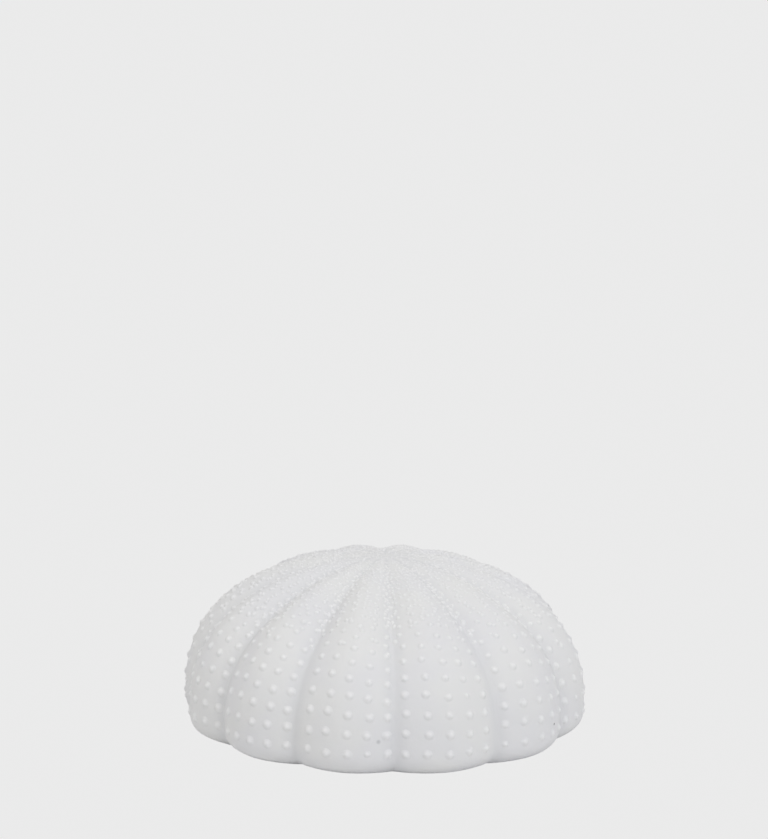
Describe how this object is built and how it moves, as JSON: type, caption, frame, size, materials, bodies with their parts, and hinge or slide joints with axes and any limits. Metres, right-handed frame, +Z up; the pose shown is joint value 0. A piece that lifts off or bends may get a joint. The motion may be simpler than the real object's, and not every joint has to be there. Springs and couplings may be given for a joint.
{
  "type": "sea urchin shell",
  "caption": "Low domed, hollow sea urchin shell with rounded lobes, grooves between them, a flat foot ring and a round mouth underneath.",
  "frame": {"origin": "on the table, under the middle of the shell's outline", "axes": "+Z up through the crown, -Y towards the front, +X to the right of the front"},
  "size_m": [0.119, 0.1184, 0.0525],
  "materials": {
    "porcelain": "unglazed, matt, with fine raised tubercles"
  },
  "bodies": {
    "root": {"shell": "porcelain"}
  },
  "joints": []
}
